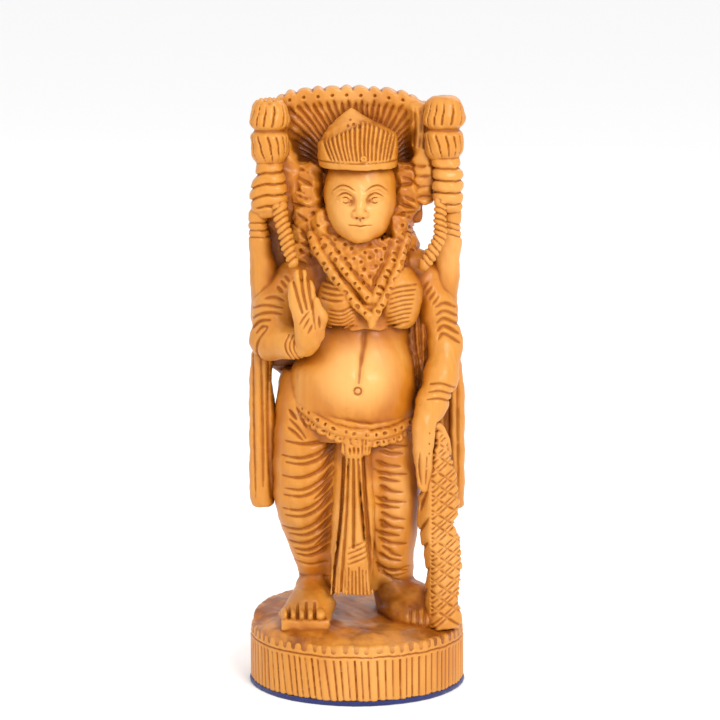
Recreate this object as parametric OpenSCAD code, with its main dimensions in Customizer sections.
// Four-armed standing figure, carved from one block of wood on a round
// plinth, with a felt pad glued under it. The origin is the centre of the
// felt's underside, +Z is up and the figure looks along -Y. "Right" and
// "left" are the figure's own right (-X) and left (+X).
// The carving is divided into its named regions. Each region is a solid
// that meets its neighbours face to face.

/* [Plinth] */
// Radius of the wooden plinth
base_r = 27; // [26:0.5:30]
// Height of the fluted drum
drum_h = 10.8; // [8:0.2:14]
// Height of the row of beads above the drum
bead_h = 2.6; // [2:0.2:4]
// Rise of the ground from the beads to the feet
ground_rise = 2.4; // [1.5:0.1:4]
// Thickness of the felt pad
felt_t = 1.2; // [0.8:0.1:2]
// Number of cut flutes round the drum
flute_count = 90; // [40:2:96]
// Number of beads round the rim
bead_count = 60; // [30:2:64]

/* [Figure] */
// Height from the ground to the top of the halo
figure_h = 133; // [120:1:150]
// Number of scallops along the top of the halo
scallop_count = 13; // [7:2:17]

/* [Colours] */
// Wood on the raised surfaces
wood = "#d99a4e";
// Wood that is stained darker in the hollows
dark_wood = "#b4752f";
// Wood of the ornaments
pale_wood = "#e6ad63";
// Felt under the plinth
felt = "#27357f";

/* [Hidden] */

felt_proud = 0.3;         // how far the felt stands past the wood
flute_depth = 0.6;        // depth of a cut flute
bead_depth = 0.7;         // depth of the notch between two beads
rim_set = 0.4;            // how far the ground starts inside the beads
nominal_h = 133;          // figure height at which the places below are given
ground_z = felt_t + drum_h + bead_h + ground_rise;
figure_scale = figure_h / nominal_h;
fine = 16;                // facets round a large form
coarse = 10;              // facets round a small form
petal_facets = 6;         // facets round a petal

// ---- helpers -------------------------------------------------------------

// Ellipsoid at p with half-sizes r
module blob(p, r, n = fine) {
    translate(p) scale(r) sphere(r = 1, $fn = n);
}

// Skin over a row of stations, each [x, y, z, rx, ry, rz]
module skin(stations, n = fine) {
    for (i = [0 : len(stations) - 2])
        hull() {
            for (s = [stations[i], stations[i + 1]])
                blob([s[0], s[1], s[2]], [s[3], s[4], s[5]], n);
        }
}

// Rope over a row of points, all of radius r
module rope(points, r, n = coarse) {
    skin([for (p = points) [p[0], p[1], p[2], r, r, r]], n);
}

// Places the figure's own frame on top of the ground
module on_ground() {
    translate([0, 0, ground_z]) scale(figure_scale) children();
}

// ---- plinth --------------------------------------------------------------

// Outline of a disc whose edge is notched count times
function notched(r, depth, count, steps = 6) = [
    for (i = [0 : count * steps - 1])
        let (a = 360 * i / (count * steps))
        let (cut = depth * pow(abs(cos(a * count / 2)), 6))
        [(r - cut) * cos(a), (r - cut) * sin(a)]
];

module felt_pad() {
    color(felt) cylinder(r = base_r + felt_proud, h = felt_t, $fn = 96);
}

module base_drum() {
    color(wood) translate([0, 0, felt_t])
        linear_extrude(drum_h) polygon(notched(base_r, flute_depth, flute_count, 4));
}

module bead_rim() {
    color(pale_wood) translate([0, 0, felt_t + drum_h])
        linear_extrude(bead_h) polygon(notched(base_r, bead_depth, bead_count));
}

module ground_form() {
    rim_r = base_r - rim_set;
    translate([0, 0, ground_z - ground_rise])
        rotate_extrude($fn = 72)
            polygon([
                [0, 0], [rim_r, 0], [rim_r, ground_rise * 0.25],
                [rim_r * 0.94, ground_rise * 0.6], [rim_r * 0.84, ground_rise * 0.85],
                [rim_r * 0.6, ground_rise], [0, ground_rise]
            ]);
    // the ground rises behind the right foot
    intersection() {
        translate([0, 0, ground_z - ground_rise]) cylinder(h = 3 * ground_rise, r = rim_r, $fn = 72);
        blob([-6, 14, ground_z - 2], [24, 18, 2.8]);
    }
}

// ---- legs and feet -------------------------------------------------------

module right_foot_form() {
    skin([[-11.2, 1.5, 4, 4.2, 4.6, 5], [-12.4, -7, 3.4, 4.6, 4.4, 4],
          [-13.4, -13.5, 2, 5.4, 3, 2.4]]);
    for (i = [0 : 4])
        blob([-17.8 + 2.15 * i, -16.6 - 0.2 * i, 3], [1.15, 2, 1.4], coarse);
    translate([-19.4, -18.4, -0.6]) cube([12, 6, 2.8]);
}

module left_foot_form() {
    skin([[9.4, 1.5, 4, 4.8, 5, 5.2], [13, -3.5, 3, 4.4, 4.4, 4],
          [16, -7, 1.6, 4, 3.6, 2.8]]);
    for (i = [0 : 3])
        blob([13 + 1.9 * i, -10.6 + 0.7 * i, 1], [1, 1.8, 1.3], coarse);
}

module right_leg_form() {
    skin([[-9.4, 0, 52, 10.8, 11, 10], [-12.6, -1, 37, 8.5, 9.6, 9],
          [-12.9, -1, 27, 8, 9, 8], [-12, 0, 18, 6.5, 7.6, 6.5],
          [-11.2, 0.5, 11, 4.4, 5.4, 3.5]]);
}

module left_leg_form() {
    skin([[6, 0, 49, 9.4, 10.6, 9], [8.8, -0.6, 37, 6.6, 9.2, 9],
          [9.3, 0, 26, 6.3, 8.4, 8], [9.4, 1, 17, 5.6, 7.4, 6],
          [9.6, 1, 11, 5, 6, 3]]);
}

// Cloth that fills the space between the legs
module inner_fold_form() {
    hull() {
        blob([-2, 1, 40], [5, 6, 6], coarse);
        blob([-1.6, 1, 20], [4, 5, 6], coarse);
    }
}

// ---- cloth at the front --------------------------------------------------

module front_sash_form() {
    knot = [-0.6, -14, 46.5];
    blob(knot, [3.7, 2.6, 4], coarse);
    pleats = 6;
    for (i = [0 : pleats - 1]) {
        t = i / (pleats - 1) - 0.5;
        hull() {
            blob([knot[0] + 4.4 * t, -13.6 + abs(t), 43], [0.9, 1.6, 1], coarse);
            blob([-1.6 + 9 * t, -13 + abs(t), 9.6], [1.1, 1.9, 1], coarse);
        }
    }
}

module waist_belt_form() {
    hip_h = 60;
    front_h = 51.8;
    hip = [16.6, 14.4];
    // Height and place round the waist at angle a, which is 90 at the front
    function belt(a, drop) = [
        -1 + hip[0] * cos(a), -0.6 - hip[1] * sin(a),
        hip_h - drop - (hip_h - front_h) * pow(max(0, sin(a)), 2)
    ];
    rope([for (a = [10 : 30 : 370]) belt(a, 0)], 1.5);
    rope([for (a = [2 : 29.3 : 178]) belt(a, 2.9)], 1.8);
}

// ---- body ----------------------------------------------------------------

module torso_form() {
    skin([[0, 0, 56, 15, 12, 8], [-0.2, -2.6, 63.5, 14.6, 12.4, 12],
          [1.6, 0, 78, 12.6, 9.4, 10]]);
    skin([[-13, 1.5, 86, 5.4, 5.6, 5], [15, 1.5, 84.5, 5.2, 5.6, 5]]);
    skin([[1.4, 0, 84, 8, 7, 6], [1.2, -1.5, 93, 5.2, 5.2, 4]]);
}

module bodice_form() {
    blob([-3.8, -7.6, 79.6], [6.2, 5.6, 6.2]);
    blob([10.2, -7, 80.6], [6.2, 5.6, 6.6]);
    skin([[-8.6, -6, 76, 2.6, 3, 2], [2, -10.6, 75.6, 2.6, 3, 2],
          [12.2, -6, 76, 2.6, 3, 2]], coarse);
}

module garland_form() {
    outer = [[-10, -2.5, 98], [-7.5, -6.5, 91.5], [-2, -11.4, 84], [3.6, -13.4, 78],
             [7.2, -11, 85], [10, -6.5, 91.5], [11.6, -2.5, 98]];
    inner = [[-7.4, -3, 97], [-3.6, -7.4, 91], [2, -9, 88.5], [7, -7, 91.6], [9, -3, 97]];
    rope(outer, 1.9);
    rope(inner, 1.5);
    blob([3.6, -13.4, 76.6], [1.8, 1.6, 2.4], coarse);
}

module head_form() {
    blob([0.7, -4.6, 107.5], [8.7, 8.6, 9.6]);
    blob([0.8, -6, 103], [6.9, 7, 7.3]);
    skin([[0.8, -6.6, 97.6, 3, 2.6, 1.9], [0.7, -6, 104, 5, 5, 4]]);
}

module crown_form() {
    skin([[0, -3.6, 114.3, 10.2, 10.4, 1.7], [0, -3.2, 118.6, 9.8, 9.6, 2]]);
    skin([[0, -3.2, 118.6, 9.8, 9.6, 2], [-0.4, -1, 125.8, 2, 2.4, 1.4]]);
}

module hair_form() {
    blob([0.5, 2, 107], [11, 8.4, 12]);
    skin([[-11, 0.5, 110, 4, 4.4, 3], [-11.6, 0, 99, 3.8, 4.4, 4]]);
    skin([[11.4, 0.5, 110, 3.6, 4.4, 3], [11.4, 0, 100, 3.4, 4.4, 4]]);
    skin([[0.5, 5.6, 100, 10, 5, 8], [0.5, 6, 88, 8, 4.4, 6]]);
    blob([-9.8, -5.4, 99.4], [1.8, 2.4, 1.8], coarse);
    blob([11.2, -5, 99.6], [1.8, 2.4, 1.8], coarse);
}

// Fan behind the head: a scalloped arch, hollowed at the front
module halo_form() {
    top = 131.6;
    half_w = 19.5;
    arch_x = -2;
    thick = 8;
    back_y = 9.6;
    arch_drop = 0.008;
    difference() {
        union() {
            hull() {
                for (x = [arch_x - half_w + 5, arch_x, arch_x + half_w - 5])
                    translate([x, back_y, top - 9 - arch_drop * pow(x - arch_x, 2)])
                        rotate([90, 0, 0]) cylinder(r = 8, h = thick, $fn = 32);
                translate([arch_x - 15, back_y - thick, 100]) cube([33, thick, 6]);
            }
            for (i = [0 : scallop_count - 1]) {
                x = arch_x + (i / (scallop_count - 1) - 0.5) * 2 * (half_w - 3);
                translate([x, back_y, top - 0.8 - 1.4 * arch_drop * pow(x - arch_x, 2)])
                    rotate([90, 0, 0]) cylinder(r = 2.2, h = thick, $fn = 16);
            }
        }
        blob([-1, 0, 115], [14.5, 6.5, 14]);
    }
    skin([[-16.9, 2.7, 88.2, 2.8, 3.6, 2], [-16.3, 2.4, 114, 3, 4, 2]], coarse);
    skin([[16.7, 2.7, 104.8, 2.5, 3.6, 2], [16.3, 2.4, 114, 3, 4, 2]], coarse);
}

// ---- rear arms and what they hold ----------------------------------------

module right_rear_arm_form() {
    skin([[-15, 4, 85, 4, 4.4, 4.4], [-22.3, 2, 75.5, 3.8, 4.4, 4.4],
          [-23, 0, 88, 3.3, 4, 3], [-24.2, -2, 99, 2.3, 3, 3]]);
}

module left_rear_arm_form() {
    skin([[16, 4, 84, 4, 4.4, 4.4], [20.8, 2, 73.5, 3.7, 4.4, 4.4],
          [21.9, 0, 88, 3.2, 4, 3], [23.6, -2, 99, 2.3, 3, 3]]);
}

// Fist round a lotus stalk: four rolled fingers over a palm
module fist_form(x, half_w, low, high) {
    fingers = 4;
    pitch = (high - low) / fingers;
    blob([x, -3, (low + high) / 2], [half_w * 0.9, 4.4, (high - low) / 2]);
    for (i = [0 : fingers - 1])
        skin([[x - half_w + 1.7, -3.6, low + pitch * (i + 0.5), 1.7, 2, pitch * 0.52],
              [x + half_w - 1.7, -6.6, low + pitch * (i + 0.5) - 0.6, 1.7, 1.7, pitch * 0.52]],
             coarse);
}

module right_rear_hand_form() { fist_form(-21.4, 4.8, 102.4, 114); }

module left_rear_hand_form() { fist_form(22.4, 3.8, 103, 115); }

// Lotus bud of two tiers of petals
module lotus_form(x, half_w, low, waist, high) {
    petals = 9;
    translate([x, -3, low + 1]) cylinder(r = half_w / 2, h = high - low - 2, $fn = fine);
    for (tier = [[low, waist], [waist, high]]) {
        mid = (tier[0] + tier[1]) / 2;
        half_h = (tier[1] - tier[0]) / 2;
        blob([x, -3, mid], [half_w * 0.93, 5.6, half_h]);
        for (i = [0 : petals - 1]) {
            a = 360 * (i + 0.5) / petals;
            hull() {
                for (z = [-0.45, 0.45])
                    blob([x + (half_w - 1.7) * cos(a), -3 + 4.2 * sin(a), mid + z * half_h],
                         [1.7, 1.7, half_h * 0.5], petal_facets);
            }
        }
    }
}

module right_lotus_form() { lotus_form(-21.5, 4.7, 114.3, 122.6, 130.6); }

module left_lotus_form() { lotus_form(21.4, 4.8, 115.5, 122.9, 131.2); }

module right_lotus_stem_form() {
    rope([[-18.3, -7, 104], [-17, -8, 98], [-14.4, -9.6, 90]], 2.2);
}

module left_lotus_stem_form() {
    rope([[20.6, -6.5, 105], [20.4, -7, 95], [16.4, -8.6, 89.4]], 2.2);
}

// ---- front arms and what they hold ---------------------------------------

module right_front_arm_form() {
    skin([[-16.6, -1, 86, 4.4, 5, 5], [-21, -2.4, 78, 4.8, 5.4, 5],
          [-21.2, -4, 70.4, 4.7, 5, 5.2], [-14.6, -11.4, 70.6, 3.4, 3.6, 4]]);
}

module left_front_arm_form() {
    skin([[17.4, -1, 84, 4.6, 5, 5], [21.2, -2, 76, 4.4, 5, 5],
          [22.2, -3, 68, 3.9, 4.6, 4.6], [18.9, -9.6, 56.5, 3.2, 3.2, 3]]);
}

// Open hand raised with the palm to the front
module right_front_hand_form() {
    skin([[-13, -13.6, 71.4, 3.4, 2.6, 3], [-11.4, -15, 76, 4.4, 2.4, 4]]);
    for (i = [0 : 3])
        skin([[-14.4 + 1.9 * i, -15.2, 77.5, 1.1, 1.4, 1.4],
              [-14.8 + 1.5 * i, -14.6, 88.6 - abs(i - 1) * 0.8, 0.9, 1.1, 1.2]], coarse);
    skin([[-8.8, -15.4, 74.4, 1.4, 1.6, 1.6], [-8.7, -16.4, 81.6, 1, 1.2, 1.2]], coarse);
}

// Hand that hangs over the top of the mace
module left_front_hand_form() {
    skin([[18.2, -11.4, 53, 3.6, 3, 3.4], [16.4, -13, 47.6, 3.2, 2.6, 3]]);
    for (i = [0 : 3])
        skin([[14.2 + 1.4 * i, -13.6, 47, 1, 1.5, 1.4],
              [14.8 + 0.8 * i, -13.4, 36.4 + 1.8 * i, 0.8, 1.1, 1]], coarse);
}

module mace_form() {
    mace_y = -8.6;
    skin([[19.8, mace_y, 50.4, 0.8, 1.6, 0.6], [20.6, mace_y, 38, 3.5, 3.8, 1],
          [20.5, mace_y, 25, 4.8, 4.8, 1], [20.6, mace_y, 22.8, 4.2, 4.4, 0.6],
          [21.2, mace_y, 14, 4.6, 4.6, 1], [21.2, mace_y, 5, 4, 4.2, 0.6],
          [21.4, mace_y, 1.6, 4.6, 4.4, 2]], coarse);
}

// ---- shawl ---------------------------------------------------------------

module right_shawl_form() {
    skin([[-23.8, 1.6, 65, 2.8, 4.4, 4], [-23.9, 1.6, 46, 2.9, 4.4, 4],
          [-23.7, 1.6, 29.6, 2.9, 4, 2.6]]);
}

module left_shawl_form() {
    skin([[23.8, 2, 63, 2.7, 4.2, 4], [24.4, 2, 46, 2.3, 4.2, 4],
          [25, 2, 30.4, 2, 3.8, 2.4]]);
}

module back_shawl_form() {
    skin([[-21, 5, 66, 2.6, 2.4, 4], [-12, 10.4, 58, 3, 2.2, 4.4],
          [0.5, 12.4, 55, 3, 2, 4.6], [12, 10.4, 57, 3, 2.2, 4.4],
          [21.6, 5, 64, 2.6, 2.4, 4]]);
    translate([-20.6, 2.1, 63]) cube([42, 4.9, 21.2]);
}

// ---- nodes: each form, less the neighbours that it meets -----------------

module ground() {
    color(dark_wood) ground_form();
}

module right_foot() {
    color(wood) difference() {
        on_ground() right_foot_form();
        ground_form();
    }
}

module left_foot() {
    color(dark_wood) difference() {
        on_ground() left_foot_form();
        ground_form();
    }
}

module right_leg() {
    color(wood) on_ground() difference() {
        union() {
            right_leg_form();
            inner_fold_form();
        }
        right_foot_form();
        torso_form();
    }
}

module left_leg() {
    color(wood) on_ground() difference() {
        left_leg_form();
        left_foot_form();
        torso_form();
        right_leg_form();
        inner_fold_form();
    }
}

module legs_form() {
    right_leg_form();
    left_leg_form();
    inner_fold_form();
}

module front_sash() {
    color(pale_wood) on_ground() difference() {
        front_sash_form();
        legs_form();
        torso_form();
    }
}

module waist_belt() {
    color(pale_wood) on_ground() difference() {
        waist_belt_form();
        torso_form();
        legs_form();
        front_sash_form();
    }
}

module torso() {
    color(wood) on_ground() torso_form();
}

module bodice() {
    color(wood) on_ground() difference() {
        bodice_form();
        torso_form();
    }
}

module garland() {
    color(pale_wood) on_ground() difference() {
        garland_form();
        torso_form();
        bodice_form();
    }
}

module head() {
    color(wood) on_ground() difference() {
        head_form();
        torso_form();
        garland_form();
    }
}

module crown() {
    color(pale_wood) on_ground() difference() {
        crown_form();
        head_form();
    }
}

module hair() {
    color(dark_wood) on_ground() difference() {
        hair_form();
        head_form();
        crown_form();
        torso_form();
        garland_form();
    }
}

module halo() {
    color(wood) on_ground() difference() {
        halo_form();
        hair_form();
        crown_form();
        head_form();
        torso_form();
        right_rear_arm_form();
        right_front_arm_form();
    }
}

module right_rear_arm() {
    color(wood) on_ground() difference() {
        right_rear_arm_form();
        torso_form();
        right_front_arm_form();
    }
}

module left_rear_arm() {
    color(wood) on_ground() difference() {
        left_rear_arm_form();
        torso_form();
        left_front_arm_form();
    }
}

module right_rear_hand() {
    color(wood) on_ground() difference() {
        right_rear_hand_form();
        right_rear_arm_form();
        halo_form();
    }
}

module left_rear_hand() {
    color(wood) on_ground() difference() {
        left_rear_hand_form();
        left_rear_arm_form();
        halo_form();
    }
}

module right_lotus() {
    color(pale_wood) on_ground() difference() {
        right_lotus_form();
        right_rear_hand_form();
        halo_form();
    }
}

module left_lotus() {
    color(pale_wood) on_ground() difference() {
        left_lotus_form();
        left_rear_hand_form();
        halo_form();
    }
}

module right_lotus_stem() {
    color(pale_wood) on_ground() difference() {
        right_lotus_stem_form();
        right_rear_hand_form();
        halo_form();
        garland_form();
        right_front_hand_form();
    }
}

module left_lotus_stem() {
    color(pale_wood) on_ground() difference() {
        left_lotus_stem_form();
        left_rear_hand_form();
        torso_form();
        bodice_form();
        left_front_arm_form();
    }
}

module right_front_arm() {
    color(wood) on_ground() difference() {
        right_front_arm_form();
        torso_form();
    }
}

module left_front_arm() {
    color(wood) on_ground() difference() {
        left_front_arm_form();
        torso_form();
        bodice_form();
    }
}

module right_front_hand() {
    color(wood) on_ground() difference() {
        right_front_hand_form();
        right_front_arm_form();
        bodice_form();
    }
}

module left_front_hand() {
    color(wood) on_ground() difference() {
        left_front_hand_form();
        left_front_arm_form();
        left_leg_form();
    }
}

module mace() {
    color(pale_wood) difference() {
        on_ground() difference() {
            mace_form();
            left_front_hand_form();
            left_front_arm_form();
            left_foot_form();
            left_leg_form();
        }
        ground_form();
    }
}

module right_shawl() {
    color(wood) on_ground() difference() {
        right_shawl_form();
        right_front_arm_form();
        right_rear_arm_form();
        right_leg_form();
    }
}

module left_shawl() {
    color(wood) on_ground() difference() {
        left_shawl_form();
        left_front_arm_form();
        left_rear_arm_form();
    }
}

module back_shawl() {
    color(wood) on_ground() difference() {
        back_shawl_form();
        torso_form();
        legs_form();
        waist_belt_form();
        hair_form();
        bodice_form();
        right_shawl_form();
        left_shawl_form();
        right_front_arm_form();
        left_front_arm_form();
        right_rear_arm_form();
        left_rear_arm_form();
    }
}

felt_pad();
base_drum();
bead_rim();
ground();
right_foot();
left_foot();
right_leg();
left_leg();
front_sash();
waist_belt();
torso();
bodice();
garland();
head();
crown();
hair();
halo();
right_rear_arm();
left_rear_arm();
right_rear_hand();
left_rear_hand();
right_lotus();
left_lotus();
right_lotus_stem();
left_lotus_stem();
right_front_arm();
left_front_arm();
right_front_hand();
left_front_hand();
mace();
right_shawl();
left_shawl();
back_shawl();
